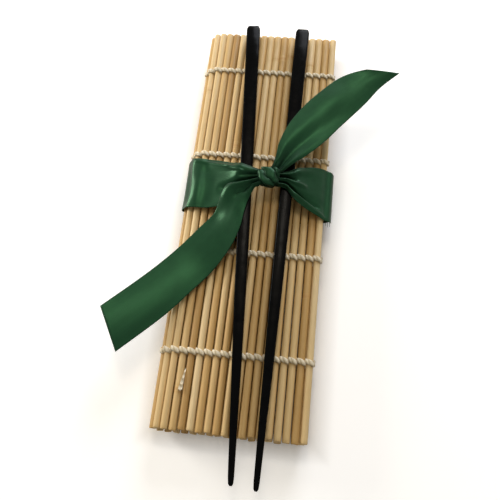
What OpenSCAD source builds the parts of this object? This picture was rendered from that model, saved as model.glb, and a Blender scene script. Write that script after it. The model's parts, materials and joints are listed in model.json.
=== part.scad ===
// Bamboo sushi rolling mat, rolled flat and tied with a satin ribbon that
// holds a pair of chopsticks on top. Millimetres. +Z is up and the slats run
// along Y. The origin is under the middle of the bottom layer, on the table.

/* [Mat] */
// Length of every slat
slat_l = 210; // [180:1:270]
// Diameter of a slat
slat_d = 3.2; // [2.6:0.1:3.2]
// Step from one slat to the next along the mat
slat_pitch = 3.75; // [3.7:0.05:4.2]
// Slats in the top layer
top_n = 17; // [16:1:20]
// Slats in the bottom layer
bottom_n = 16; // [14:1:18]
// Slats in the inner flap, under half of the bottom layer
inner_n = 8; // [4:1:8]

/* [Strings] */
// How far a stitch stands proud of its slat
string_t = 0.8; // [0.5:0.05:1]
// Width of a stitch
string_w = 1.6; // [1:0.1:2.4]
// Slant of a stitch across its slat, in degrees
stitch_tilt = 20; // [0:1:25]
// Row 1, from the middle of the slats
row_1_y = 80.4; // [60:0.1:90]
// Row 2
row_2_y = 29; // [28:0.1:50]
// Row 3
row_3_y = -22.6; // [-40:0.1:-20]
// Row 4
row_4_y = -71.2; // [-85:0.1:-50]

/* [Chopsticks] */
// Length of a chopstick
stick_l = 230; // [200:1:270]
// Side of the square thick end
stick_w = 7.2; // [6:0.1:8]
// Side where the slim part starts
stick_mid_w = 5.2; // [4:0.1:6]
// Where the slim part starts, from the thick end
stick_mid = 150; // [100:1:190]
// Side of the tip
stick_tip_w = 2.4; // [1.8:0.1:3.5]
// Bevel along the long edges, as a part of the side
stick_bevel = 0.14; // [0.05:0.01:0.25]
// Bevel round the thick end
stick_end_bevel = 1; // [0.2:0.1:1.6]
// Turn of the left chopstick across the mat, in degrees
left_turn = 3.7; // [0:0.1:4]
// Turn of the right chopstick
right_turn = -0.3; // [-2:0.1:1]

/* [Ribbon] */
// Width of the ribbon
ribbon_w = 25; // [20:1:26]
// Thickness of the ribbon solid
ribbon_t = 0.35; // [0.2:0.05:0.5]
// Length of the knot across the mat
knot_x = 10; // [8:0.1:10.4]
// Length of the knot along the slats
knot_y = 11.6; // [9:0.1:13]
// Height of the knot
knot_z = 6.4; // [5:0.1:8]

/* [Clearances] */
// Between a stitch and its slat
string_gap = 0.08; // [0.02:0.01:0.15]
// Between a stitch and the plane where its slat hinges on the next
hinge_gap = 0.15; // [0.05:0.01:0.3]
// Between a chopstick and the stitches that it lies on
stick_gap = 0.2; // [0.1:0.05:0.4]
// Between the ribbon and what it wraps
ribbon_gap = 0.22; // [0.1:0.01:0.3]

/* [Hidden] */

// The mat is one strip of slats, counted from the free edge of the top layer
left_n = 4;
right_n = 2;
rows = [row_1_y, row_2_y, row_3_y, row_4_y];
i_left = top_n;
i_bottom = i_left + left_n;
i_right = i_bottom + bottom_n;
i_inner = i_right + right_n;
n_all = i_inner + inner_n;
left_fold = 180 / (left_n + 1);
right_fold = 180 / (right_n + 1);
// Fold at the hinge in front of slat k
function fold(k) = k >= i_left && k <= i_bottom ? left_fold
  : k >= i_right && k <= i_inner ? right_fold : 0;
headings = [for (k = 0, h = 180; k < n_all; k = k + 1, h = h + (k < n_all ? fold(k) : 0)) h];
function rise(n) = slat_pitch * [for (k = 0, s = 0; k <= n; s = s + sin((k + 1) * 180 / (n + 1)), k = k + 1) s][n];
bottom_z = slat_d / 2 + string_t;
top_z = bottom_z + rise(left_n);
left_hinge_x = -bottom_n / 2 * slat_pitch;
top_edge_x = left_hinge_x + top_n * slat_pitch;
function dir(h) = [cos(h), sin(h)];
hinges = [for (k = 0, q = [top_edge_x, top_z]; k <= n_all;
  q = q + slat_pitch * dir(headings[min(k, n_all - 1)]), k = k + 1) q];
function centre(k) = (hinges[k] + hinges[k + 1]) / 2;
mat_left_x = min([for (k = [i_left : i_bottom - 1]) centre(k)[0]]) - slat_d / 2;
mat_right_x = max(top_edge_x - (slat_pitch - slat_d) / 2,
  max([for (k = [i_right : i_inner - 1]) centre(k)[0]]) + slat_d / 2);
slat_top_z = top_z + slat_d / 2;
string_top_z = slat_top_z + string_t;
// Where an arc of outer radius r starts, so that it stays clear of the hinge plane
r_out = slat_d / 2 + string_t;
function arc_start(f) = f / 2 + acos(min(1, (slat_pitch / 2 * cos(f / 2) - hinge_gap) / r_out));

stick_seat_z = string_top_z + stick_gap;
left_stick_at = [-11.4, 104.5];
right_stick_at = [15.1, 104.2];
function stick_side(s) = s < stick_mid ? stick_w + (stick_mid_w - stick_w) * s / stick_mid
  : stick_mid_w + (stick_tip_w - stick_mid_w) * (s - stick_mid) / (stick_l - stick_mid);
function stick_x(at, turn, y) = at[0] + (at[1] - y) * tan(turn);
function stick_top(at, y) = stick_seat_z + stick_side(at[1] - y);

// The ribbon crosses the mat between rows 2 and 3
band_y = 10.6;
band_lo = band_y - ribbon_w / 2;
band_hi = band_y + ribbon_w / 2;
off = ribbon_gap + ribbon_t / 2;
under_z = bottom_z - slat_d / 2 - off;
over_z = slat_top_z + off;
ls_l = stick_x(left_stick_at, left_turn, band_hi) - stick_w / 2;
ls_r = stick_x(left_stick_at, left_turn, band_lo) + stick_w / 2;
rs_l = stick_x(right_stick_at, right_turn, band_lo) - stick_w / 2;
rs_r = stick_x(right_stick_at, right_turn, band_hi) + stick_w / 2;
stick_over_z = stick_top(left_stick_at, band_hi) + off + 0.1;
knot_at = [5.6, 13.4, stick_over_z + 1.2];
mid_z = (top_z + bottom_z) / 2;

module slats(k0, k1) {
  for (k = [k0 : k1 - 1])
    translate([centre(k)[0], -slat_l / 2, centre(k)[1]])
      rotate([-90, 0, 0]) cylinder(h = slat_l, d = slat_d, $fn = 48);
}

// An arc of string round a slat, slanted across it and cut clear of it
module arc(a0, a1, slant) {
  t = string_t - string_gap / 2;
  difference() {
    rotate([0, 0, slant]) rotate([90, 0, 0]) rotate([0, 0, a0]) rotate_extrude(angle = a1 - a0, $fn = 48)
      translate([r_out - t / 2, 0]) {
        square([t, string_w - t], center = true);
        for (s = [-1, 1]) translate([0, s * (string_w - t) / 2]) circle(d = t, $fn = 24);
      }
    rotate([90, 0, 0]) cylinder(h = string_w * 4, d = slat_d + 2 * string_gap, center = true, $fn = 48);
  }
}

// Two strands cross at each hinge: one goes over the slat, the other under it
module stitches(k0, k1, ys) {
  for (k = [k0 : k1 - 1]) {
    ahead = k + 1 < n_all ? fold(k + 1) : 0;
    open = arc_start(0);
    translate([centre(k)[0], 0, centre(k)[1]]) rotate([0, 180 - headings[k], 0])
      for (y = ys) translate([0, y, 0]) {
        arc(open, 180 - open, -stitch_tilt);
        arc(180 + max(open, arc_start(ahead)), 360 - max(open, arc_start(fold(k))), stitch_tilt);
      }
  }
}

// A stick with its thick end at the origin, pointing along -Y, flat underneath
module stick() {
  s = [0, stick_end_bevel, stick_mid, stick_l - stick_tip_w / 3, stick_l];
  w = [stick_w, stick_side(s[1]), stick_mid_w, stick_side(s[3]), stick_tip_w];
  b = [stick_end_bevel, 0, 0, 0, stick_tip_w / 4];
  n = [0 : 4];
  m = [4 : -1 : 0];
  h = stick_w * 3;
  function lo(i) = -(w[i] / 2 - w[i] * stick_bevel) / sqrt(2);
  function hi(i) = (w[i] * 1.5 - w[i] * stick_bevel) / sqrt(2);
  intersection() {
    translate([0, 0, -h / 2]) linear_extrude(h * 2)
      polygon(concat([for (i = n) [-w[i] / 2 + b[i], -s[i]]], [for (i = m) [w[i] / 2 - b[i], -s[i]]]));
    rotate([0, -90, 0]) linear_extrude(h, center = true)
      polygon(concat([for (i = n) [b[i], -s[i]]], [for (i = m) [w[i] - b[i], -s[i]]]));
    for (a = [-45, -135])
      rotate([0, a, 0]) linear_extrude(h * 2, center = true)
        polygon(concat([for (i = n) [lo(i), -s[i]]], [for (i = m) [hi(i), -s[i]]]));
  }
}

// A sheet through stations: each gives its two edges, the height of its crown and of its pleats
function mix(a, b, t) = a + (b - a) * t;
function spline(p, i, t) =
  let (a = p[max(i - 1, 0)], b = p[i], c = p[i + 1], d = p[min(i + 2, len(p) - 1)])
  0.5 * (2 * b + (c - a) * t + (2 * a - 5 * b + 4 * c - d) * t * t + (3 * b - a - 3 * c + d) * t * t * t);
function unit(v) = v / norm(v);
module sheet(st, per, cols, pleats) {
  flat = [for (q = st) concat(q[0], q[1], [q[2], q[3]])];
  fine = concat([for (i = [0 : len(st) - 2], t = [0 : per - 1]) spline(flat, i, t / per)], [flat[len(st) - 1]]);
  n = len(fine);
  e = [for (q = fine) [q[0], q[1], q[2]]];
  f = [for (q = fine) [q[3], q[4], q[5]]];
  up = [for (i = [0 : n - 1]) unit(cross(
    (e[min(i + 1, n - 1)] + f[min(i + 1, n - 1)]) - (e[max(i - 1, 0)] + f[max(i - 1, 0)]), f[i] - e[i]))];
  mid = [for (i = [0 : n - 1]) [for (j = [0 : cols]) let (v = j / cols)
    mix(e[i], f[i], v) + up[i] * (fine[i][6] * 4 * v * (1 - v)
      + fine[i][7] * (1 - cos(360 * pleats * v)) / 2)]];
  function tu(i, j) = mid[min(i + 1, n - 1)][j] - mid[max(i - 1, 0)][j];
  function tv(i, j) = mid[i][min(j + 1, cols)] - mid[i][max(j - 1, 0)];
  pts = concat([for (i = [0 : n - 1], j = [0 : cols]) mid[i][j] + unit(cross(tu(i, j), tv(i, j))) * ribbon_t / 2],
    [for (i = [0 : n - 1], j = [0 : cols]) mid[i][j] - unit(cross(tu(i, j), tv(i, j))) * ribbon_t / 2]);
  c = cols + 1;
  m = n * c;
  function q(a, b, cc, d) = [[a, b, cc], [a, cc, d]];
  faces = concat(
    [for (i = [0 : n - 2], j = [0 : cols - 1]) each q(i * c + j, i * c + j + 1, (i + 1) * c + j + 1, (i + 1) * c + j)],
    [for (i = [0 : n - 2], j = [0 : cols - 1])
      each q(m + i * c + j, m + (i + 1) * c + j, m + (i + 1) * c + j + 1, m + i * c + j + 1)],
    [for (i = [0 : n - 2]) each q(i * c, (i + 1) * c, m + (i + 1) * c, m + i * c)],
    [for (i = [0 : n - 2]) each q(i * c + cols, m + i * c + cols, m + (i + 1) * c + cols, (i + 1) * c + cols)],
    [for (j = [0 : cols - 1]) each q(j, m + j, m + j + 1, j + 1)],
    [for (j = [0 : cols - 1]) each q((n - 1) * c + j, (n - 1) * c + j + 1, m + (n - 1) * c + j + 1, m + (n - 1) * c + j)]);
  polyhedron(pts, faces);
}

module top_slats() { color("#dcc08a") slats(0, i_left); }
module top_string(r) { color("#efe9dc") stitches(0, i_left, [rows[r]]); }
module left_bend_slat(k) { color("#d8ba82") slats(i_left + k, i_left + k + 1); }
module left_bend_stitches(k) { color("#efe9dc") stitches(i_left + k, i_left + k + 1, rows); }
module bottom_slats() { color("#d4b47a") slats(i_bottom, i_right); }
module bottom_string(r) { color("#efe9dc") stitches(i_bottom, i_right, [rows[r]]); }
module right_bend_slat(k) { color("#d8ba82") slats(i_right + k, i_right + k + 1); }
module right_bend_stitches(k) { color("#efe9dc") stitches(i_right + k, i_right + k + 1, rows); }
module inner_slats() { color("#d0b076") slats(i_inner, n_all); }
module inner_string(r) { color("#efe9dc") stitches(i_inner, n_all, [rows[r]]); }

// A cut end of string that lies in the groove between two slats of the top layer
module loose_string_end() {
  x = left_hinge_x + 2 * slat_pitch;
  z = slat_top_z - slat_d * 0.08;
  y = row_4_y - string_w * 5;
  color("#efe9dc") hull() {
    translate([x + 0.2, y, z]) sphere(d = 0.7, $fn = 10);
    translate([x - 1.2, y - 9, z + 0.7]) sphere(d = 1, $fn = 10);
    translate([x + 0.4, y - 9.6, z + 0.7]) sphere(d = 1, $fn = 10);
  }
}

module chopstick_left() {
  color("#101013") translate([left_stick_at[0], left_stick_at[1], stick_seat_z]) rotate([0, 0, left_turn]) stick();
}
module chopstick_right() {
  color("#101013") translate([right_stick_at[0], right_stick_at[1], stick_seat_z]) rotate([0, 0, right_turn]) stick();
}

// One loop: from the knot over the left chopstick, round the mat and back over the right one
function hoop(x, z, lo, hi, pleat) = [[x, hi, z], [x, lo, z], 0, pleat];
module ribbon_band() {
  k0 = knot_at[0] - knot_x / 2 - ribbon_gap;
  k1 = knot_at[0] + knot_x / 2 + ribbon_gap;
  lo = band_lo;
  hi = band_hi;
  lx = mat_left_x - off;
  rx = mat_right_x + off + 3.2;
  color("#1d4a33") sheet([
    hoop(k0, knot_at[2] - 0.6, lo + 10.5, hi - 5, 0.9),
    hoop(ls_r - 0.5, stick_over_z + 0.3, lo + 9, hi - 4.4, 0.8),
    hoop((ls_l + ls_r) / 2, stick_over_z, lo + 7, hi - 3.4, 0.7),
    hoop(ls_l - 0.4, stick_over_z - 0.1, lo + 5.4, hi - 2.6, 0.6),
    hoop(ls_l - 3, stick_over_z - 1.9, lo + 4, hi - 1.2, 0.5),
    hoop(ls_l - 7, over_z + 1.9, lo + 2.2, hi + 0.8, 0.35),
    hoop(ls_l - 12, over_z + 0.35, lo + 1, hi + 2, 0.2),
    hoop(left_hinge_x + 4, over_z, lo + 0.4, hi + 2.2, 0.08),
    hoop(left_hinge_x, over_z, lo - 0.4, hi + 2, 0),
    hoop(lx + 2.3, top_z + 0.9, lo - 0.8, hi + 1, 0),
    hoop(lx + 0.5, top_z - 2.2, lo - 1, hi + 0.4, 0),
    hoop(lx, mid_z, lo - 0.6, hi, 0),
    hoop(lx + 0.5, bottom_z + 2.2, lo, hi, 0),
    hoop(lx + 2.3, bottom_z - 0.9, lo, hi, 0),
    hoop(left_hinge_x, under_z, lo, hi, 0),
    hoop(left_hinge_x / 2, under_z, lo, hi, 0),
    hoop(0, under_z, lo, hi, 0),
    hoop(-left_hinge_x / 2, under_z, lo, hi, 0),
    hoop(-left_hinge_x, under_z, lo, hi, 0),
    hoop(rx - 2.6, bottom_z - 0.9, lo, hi, 0),
    hoop(rx - 0.6, bottom_z + 2.4, lo, hi - 0.5, 0),
    hoop(rx, mid_z, lo - 0.4, hi - 0.2, 0),
    hoop(rx - 0.6, top_z - 2, lo - 0.6, hi, 0),
    hoop(rx - 2.7, top_z + 1.3, lo - 0.4, hi + 0.6, 0),
    hoop(rx - 6, over_z, lo + 0.4, hi + 2, 0.05),
    hoop(rx - 10.5, over_z + 0.1, lo + 2.4, hi + 2.4, 0.2),
    hoop(rs_r + 5, over_z + 1.6, lo + 5.3, hi + 1.4, 0.4),
    hoop(rs_r + 2, over_z + 4.4, lo + 8, hi, 0.6),
    hoop(rs_r + 0.4, stick_over_z - 0.2, lo + 9.8, hi - 1, 0.7),
    hoop((rs_l + rs_r) / 2, stick_over_z, lo + 10.8, hi - 2.2, 0.8),
    hoop(k1, knot_at[2] - 0.6, lo + 11, hi - 4.4, 0.9)], 2, 9, 3);
}

// The knot: one turn of ribbon pulled tight round the others, creased down its middle
module ribbon_knot() {
  nu = 24;
  nv = 12;
  function pt(a, b) = let (c = 1 - 0.12 * exp(-pow(sin(b) * 4, 2)) * max(0, sin(a)))
    [knot_x / 2 * sign(cos(a)) * pow(abs(cos(a)), 0.8) * pow(cos(b), 0.55) * c,
     knot_y / 2 * sin(b),
     knot_z / 2 * sign(sin(a)) * pow(abs(sin(a)), 0.8) * pow(cos(b), 0.55) * c];
  ring = [for (j = [0 : nv - 1], i = [0 : nu - 1]) pt(i * 360 / nu + 3, -82 + 164 * j / (nv - 1))];
  color("#1b452f") translate(knot_at) polyhedron(
    concat(ring, [[0, -knot_y / 2, 0], [0, knot_y / 2, 0]]),
    concat([for (j = [0 : nv - 2], i = [0 : nu - 1]) let (a = j * nu + i, b = j * nu + (i + 1) % nu)
        each [[a, b, b + nu], [a, b + nu, a + nu]]],
      [for (i = [0 : nu - 1]) [(i + 1) % nu, i, nu * nv]],
      [for (i = [0 : nu - 1]) [(nv - 1) * nu + i, (nv - 1) * nu + (i + 1) % nu, nu * nv + 1]]));
}

// Each tail station: upper-left edge, lower-right edge, crown, pleat
module ribbon_tail_left() {
  s = stick_over_z;
  t = string_top_z + off;
  x = knot_at[0];
  y = knot_at[1];
  color("#2b5a3e") sheet([
    [[x - 7.4, y - 1, s + 1.9], [x - 5.4, y - 7.4, s + 1.5], 0, 0.3],
    [[x - 12.6, y - 5, s + 2], [x - 8.4, y - 13, s + 1.1], 0.2, 0.3],
    [[x - 18, y - 10, s - 0.3], [x - 10.6, y - 20, s + 0.5], 0.3, 0.2],
    [[x - 24, y - 16.6, t + 1.8], [x - 12.4, y - 28, s - 0.8], 0.3, 0.1],
    [[x - 31.4, y - 26, t + 0.6], [x - 16.4, y - 37.6, t + 2], 0.3, 0],
    [[x - 40, y - 38, t + 0.4], [x - 23.4, y - 48.6, t + 0.3], 0.4, 0],
    [[x - 48.6, y - 48, t + 1.4], [x - 31, y - 59, t + 0.6], 0.6, 0],
    [[x - 57, y - 57, t + 3], [x - 40, y - 70, t + 1.6], 0.8, 0],
    [[x - 68.4, y - 69, t + 6], [x - 57.6, y - 88, t + 4], 0.8, 0]], 4, 8, 1);
}
module ribbon_tail_right() {
  s = stick_over_z;
  x = knot_at[0];
  y = knot_at[1];
  color("#26553a") sheet([
    [[x + 1.4, y + 6.6, s + 2], [x + 9.4, y + 6.6, s + 1.6], 0, -0.2],
    [[x + 2.4, y + 13, s + 3], [x + 13.2, y + 10.2, s + 2.2], -0.6, -0.2],
    [[x + 3.8, y + 19, s + 3.8], [x + 18.8, y + 14.2, s + 2.6], -1.2, -0.3],
    [[x + 8, y + 30, s + 4.4], [x + 25.6, y + 20.6, s + 3], -1.6, -0.3],
    [[x + 14, y + 39.6, s + 4.6], [x + 32.4, y + 29.4, s + 3.4], -1.8, -0.3],
    [[x + 21, y + 47.6, s + 5], [x + 38, y + 36, s + 4], -1.6, -0.2],
    [[x + 29, y + 55, s + 6], [x + 44, y + 43, s + 5], -1.2, 0],
    [[x + 36, y + 58.4, s + 7.4], [x + 50.6, y + 51.6, s + 6.4], -0.8, 0],
    [[x + 43, y + 60, s + 9], [x + 59.4, y + 59.6, s + 8], -0.4, 0]], 4, 8, 2);
}

top_slats();
top_string(0);  // top_string_1
top_string(1);  // top_string_2
top_string(2);  // top_string_3
top_string(3);  // top_string_4
left_bend_slat(0);  // left_bend_slat_1
left_bend_slat(1);  // left_bend_slat_2
left_bend_slat(2);  // left_bend_slat_3
left_bend_slat(3);  // left_bend_slat_4
left_bend_stitches(0);  // left_bend_stitches_1
left_bend_stitches(1);  // left_bend_stitches_2
left_bend_stitches(2);  // left_bend_stitches_3
left_bend_stitches(3);  // left_bend_stitches_4
bottom_slats();
bottom_string(0);  // bottom_string_1
bottom_string(1);  // bottom_string_2
bottom_string(2);  // bottom_string_3
bottom_string(3);  // bottom_string_4
right_bend_slat(0);  // right_bend_slat_1
right_bend_slat(1);  // right_bend_slat_2
right_bend_stitches(0);  // right_bend_stitches_1
right_bend_stitches(1);  // right_bend_stitches_2
inner_slats();
inner_string(0);  // inner_string_1
inner_string(1);  // inner_string_2
inner_string(2);  // inner_string_3
inner_string(3);  // inner_string_4
loose_string_end();
chopstick_left();
chopstick_right();
ribbon_band();
ribbon_knot();
ribbon_tail_left();
ribbon_tail_right();
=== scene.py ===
# %% [markdown]
# # A bamboo rolling mat, tied up with a ribbon
# The object is a sushi mat rolled flat: thin round slats of bamboo, twined together by four rows of
# cotton string. Two lacquered chopsticks lie on it, and one satin ribbon goes round everything and is
# tied in a single knot. The slats, the string, the sticks and the ribbon each get their own lesson here.
# The imported model is the frame: it says where every piece is and how big. The folds of the ribbon, the
# tones of the slats and the light then follow the photograph.

# %% Load the frame
import json
import math
import random

import bmesh
import bpy
from mathutils import Matrix, Vector, noise


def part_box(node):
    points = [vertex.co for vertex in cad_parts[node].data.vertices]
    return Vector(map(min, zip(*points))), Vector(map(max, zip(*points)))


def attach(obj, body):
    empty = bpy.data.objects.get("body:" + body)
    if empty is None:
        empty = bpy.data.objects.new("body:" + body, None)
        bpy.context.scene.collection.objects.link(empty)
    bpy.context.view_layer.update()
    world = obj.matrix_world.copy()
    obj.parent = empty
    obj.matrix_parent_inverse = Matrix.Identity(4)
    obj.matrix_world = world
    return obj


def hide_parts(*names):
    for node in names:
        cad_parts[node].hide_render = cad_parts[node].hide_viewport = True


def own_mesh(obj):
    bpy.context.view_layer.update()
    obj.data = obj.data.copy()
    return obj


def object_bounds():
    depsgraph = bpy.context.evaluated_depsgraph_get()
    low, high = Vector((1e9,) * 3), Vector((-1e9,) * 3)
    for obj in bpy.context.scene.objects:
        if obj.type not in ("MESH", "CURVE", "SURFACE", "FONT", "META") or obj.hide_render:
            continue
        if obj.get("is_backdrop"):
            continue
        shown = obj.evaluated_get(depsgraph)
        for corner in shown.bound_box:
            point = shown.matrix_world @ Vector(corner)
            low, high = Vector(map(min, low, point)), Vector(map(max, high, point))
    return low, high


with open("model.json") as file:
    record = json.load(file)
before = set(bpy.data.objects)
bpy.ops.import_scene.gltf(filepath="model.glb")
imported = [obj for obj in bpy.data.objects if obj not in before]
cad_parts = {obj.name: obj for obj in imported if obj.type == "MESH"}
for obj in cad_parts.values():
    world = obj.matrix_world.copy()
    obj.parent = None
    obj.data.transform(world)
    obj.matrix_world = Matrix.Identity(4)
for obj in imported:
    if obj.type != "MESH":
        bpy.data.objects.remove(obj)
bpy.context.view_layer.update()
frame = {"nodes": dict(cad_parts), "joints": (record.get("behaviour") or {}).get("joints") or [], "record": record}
body_of = {n: body for body, nodes in frame["record"]["behaviour"]["bodies"].items() for n in nodes}
hinge_at = {j["name"]: Vector(j["pos_m"]) for j in frame["joints"] if j["type"] == "hinge"}
MM = 0.001

# %% [markdown]
# ## Camera
# The photograph was taken by hand from above the lower end of the mat, at about thirty centimetres, so
# the slats lean together towards the far end. The camera stands where the slats' convergence puts it,
# and is turned a little about its own axis, as a hand-held camera is.

# %% Camera
camera_at = Vector((22.6, -121.6, 278.9)) * MM
aims_at = Vector((0.1, -21.2, 16)) * MM
camera_roll = math.radians(-6.88)
lens = 43.2

camera = bpy.data.objects.new("camera", bpy.data.cameras.new("camera"))
bpy.context.scene.collection.objects.link(camera)
bpy.context.scene.camera = camera
camera.data.lens = lens
camera.data.sensor_width = 36
camera.data.clip_start = 0.01
camera.data.clip_end = 20
looks = (aims_at - camera_at).to_track_quat("-Z", "Y").to_matrix().to_4x4()
camera.matrix_world = Matrix.Translation(camera_at) @ looks @ Matrix.Rotation(camera_roll, 4, "Z")
print("camera is", round((aims_at - camera_at).length / MM), "mm from the mat")

# %% [markdown]
# ## Helpers
# Colours are written as sRGB hex, as a colour picker shows them, and one function turns them to the
# linear values that Blender's shaders work in. Another adds a shader node with its settings and links in
# one call, and a third is its short form for sums. The rest begin and end a material, and turn a finished
# bmesh into an object that rides on its body in place of a piece of the frame.

# %% Helpers
def linear(colour):
    channels = [int(colour[i:i + 2], 16) / 255 for i in (1, 3, 5)]
    return [c / 12.92 if c <= 0.04045 else ((c + 0.055) / 1.055) ** 2.4 for c in channels] + [1.0]


def add(material, kind, settings=(), links=()):
    node = material.node_tree.nodes.new("ShaderNode" + kind)
    for name, value in dict(settings).items():
        if name == "stops":
            ramp = node.color_ramp.elements
            while len(ramp) < len(value):
                ramp.new(0.5)
            for element, (position, colour) in zip(ramp, value):
                element.position = position
                element.color = linear(colour)
        elif isinstance(name, int) or name in node.inputs.keys():
            node.inputs[name].default_value = linear(value) if isinstance(value, str) else value
        else:
            setattr(node, name, value)
    for name, socket in dict(links).items():
        material.node_tree.links.new(socket, node.inputs[name])
    return node.outputs


def calc(material, operation, links, second=None):
    """The result of a Math node with these inputs linked, and its second input set to a number."""
    settings = {"operation": operation} if second is None else {"operation": operation, 1: second}
    return add(material, "Math", settings, links)["Value"]


def new_material(name):
    material = bpy.data.materials.new(name)
    material.use_nodes = True
    material.node_tree.nodes.clear()
    return material


def surface(material, settings, links):
    shader = add(material, "BsdfPrincipled", settings, links)
    add(material, "OutputMaterial", (), {"Surface": shader["BSDF"]})


def piece(bm, name, node, materials):
    mesh = bpy.data.meshes.new(name)
    bm.to_mesh(mesh)
    bm.free()
    for material in materials:
        mesh.materials.append(material)
    mesh.shade_smooth()
    made = bpy.data.objects.new(name, mesh)
    bpy.context.scene.collection.objects.link(made)
    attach(made, body_of[node])
    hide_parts(node)
    return made


def verts_of(geometry):
    return [g for g in geometry if isinstance(g, bmesh.types.BMVert)]


print("colour check, mid grey in linear light:", round(linear("#808080")[0], 3))

# %% [markdown]
# ## Where the slats are
# The mat is one strip of slats that is folded round two bends. The joints of the frame stand midway
# between neighbouring slats, so the joints at the bends give the strip's corners, and the flat layers
# run between them. Each slat gets a place: its middle, and the turn that puts its outer side outwards.

# %% Slat places
left = [hinge_at[n] for n in ["unroll"] + ["unroll_left_%d" % k for k in (2, 3, 4, 5)]]
right = [hinge_at["unroll_right_%d" % k] for k in (1, 2, 3)]
pitch = (left[1] - left[0]).length
slat_low, slat_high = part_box("top_slats")
slat_length = slat_high.y - slat_low.y
slat_radius = (slat_high.z - slat_low.z) / 2


def flat_run(node, z):
    low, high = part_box(node)
    count = round((high.x - low.x - 2 * slat_radius) / pitch) + 1
    return [Matrix.Translation((low.x + slat_radius + pitch * i, 0, z)) for i in range(count)]


def bend_run(corners):
    places = []
    for a, b in zip(corners, corners[1:]):
        heading = math.atan2(b.z - a.z, b.x - a.x)
        places.append(Matrix.Translation((a + b) / 2) @ Matrix.Rotation(math.pi - heading, 4, "Y"))
    return places


# The top layer is counted from the free edge of the mat, on the right
over = Matrix.Rotation(math.pi, 4, "Y")
slats_at = {"top_slats": flat_run("top_slats", left[0].z)[::-1],
            "bottom_slats": [place @ over for place in flat_run("bottom_slats", left[4].z)],
            "inner_slats": flat_run("inner_slats", right[2].z)[::-1]}
for k, place in enumerate(bend_run(left)):
    slats_at["left_bend_slat_%d" % (k + 1)] = [place]
for k, place in enumerate(bend_run(right)):
    slats_at["right_bend_slat_%d" % (k + 1)] = [place]
rows_at = [sum(corner.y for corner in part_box("top_string_%d" % k)) / 2 for k in (1, 2, 3, 4)]
print("slats:", sum(len(v) for v in slats_at.values()), "pitch in mm:", round(pitch / MM, 2),
      "rows at", [round(y / MM, 1) for y in rows_at])

# %% [markdown]
# ## Bamboo
# Each slat is split from a bamboo cane and pulled through a round die, so it is nearly round, bare and
# dry. The die leaves a satin surface with long pale and brown fibres. Slats come from different canes,
# so each has its own tone, which the mesh holds as an attribute, and in the top layer that tone also
# carries painted shade on the left and painted light on the right. The fibres are a noise that is
# stretched along the slat: about 0.35 mm wide and 40 mm long. The cut ends show the dark fibre bundles.

# %% Bamboo materials
fibre_width = 0.35 * MM
fibre_length = 40 * MM


def bamboo(name, tones, roughness):
    material = new_material(name)
    place = add(material, "TexCoord")["Object"]
    slat = add(material, "Attribute", {"attribute_name": "slat"})
    tone = add(material, "SeparateColor", (), {"Color": slat["Color"]})
    # Each slat's colour also moves the noise, so that no two slats have the same fibres
    stretch = (1 / fibre_width, 1 / fibre_length, 1 / fibre_width)
    turned = add(material, "VectorMath", {"operation": "MULTIPLY_ADD", 1: stretch},
                 {0: place, 2: slat["Color"]})["Vector"]
    fibre_noise = {"Scale": 1.0, "Detail": 3.0, "Roughness": 0.6}
    fibres = add(material, "TexNoise", fibre_noise, {"Vector": turned})["Fac"]
    wide_place = add(material, "VectorMath", {"operation": "MULTIPLY_ADD", 1: (1, 0.35, 1)},
                     {0: place, 2: slat["Color"]})["Vector"]
    patches = add(material, "TexNoise", {"Scale": 45.0, "Detail": 2.0}, {"Vector": wide_place})["Fac"]
    mixed = calc(material, "MULTIPLY_ADD", {0: fibres, 2: tone["Red"]}, 0.34)
    mixed = calc(material, "MULTIPLY_ADD", {0: patches, 2: mixed}, 0.5)
    centred = calc(material, "SUBTRACT", {0: mixed}, 0.42)
    base = add(material, "ValToRGB", {"stops": tones}, {"Fac": centred})["Color"]
    ringed = add(material, "Mix", {"data_type": "RGBA", 7: "#b98a4e"}, {0: tone["Blue"], 6: base})[2]
    bump = add(material, "Bump", {"Strength": 0.35, "Distance": 0.12 * MM}, {"Height": fibres})["Normal"]
    rough_range = {"To Min": roughness - 0.07, "To Max": roughness + 0.1}
    rough = add(material, "MapRange", rough_range, {"Value": fibres})["Result"]
    surface(material, {"IOR": 1.48, "Specular IOR Level": 0.45},
            {"Base Color": ringed, "Roughness": rough, "Normal": bump})
    return material


# Skin side and sides, drawn smooth: straw to honey, and a few slats browner
side_tones = [(0.0, "#a07a42"), (0.35, "#c6a266"), (0.62, "#dabe8a"), (1.0, "#ead9b4")]
bamboo_side = bamboo("Bamboo, drawn smooth", side_tones, 0.5)
# Sawn across: browner and matt, with the fibre bundles as brown specks
end_tones = [(0.0, "#8f6a3c"), (0.4, "#c9a66c"), (1.0, "#e6d3a6")]
bamboo_end = bamboo("Bamboo, sawn end", end_tones, 0.75)
print("bamboo fibres are drawn", fibre_width / MM, "mm wide")

# %% [markdown]
# ## Slats
# A slat could be a plain cylinder, but then forty-seven of them look machined. Here one slat is a
# cylinder cut into short lengths by planes, with its ends bevelled. Every copy then gets its own small
# faults: a slow bow, a diameter that wanders, an uneven end, and a joint of the cane where it has one.
# In the flat layers the slats also get narrower towards the near end, so that dark gaps open there, as
# they do in the photograph. Past the far row of string real slats lean together, so there they are a
# little wider.

# %% One slat, and its copies
slat_sides = 20
# Where planes cut a slat, as a part of its half length, and round a joint of the cane, in mm from it
half_cuts = [0.985, 0.93, 0.84, 0.72, 0.6, 0.45, 0.3, 0.15]
joint_cuts = [-2.4, -0.9, -0.3, 0.3, 0.9, 2.4]
end_bevel = 0.35 * MM
# The last stretch of a slat, which is made a little longer or shorter
end_stretch = 3 * MM
joint_width = 0.7 * MM
# Slats of the top layer, from the free edge, and where their cane joint is, in mm from the middle
cane_joints = {3: 87, 6: 92, 7: 90.5, 8: 90, 9: -57, 12: 35, 15: -88, 1: -41}
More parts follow.
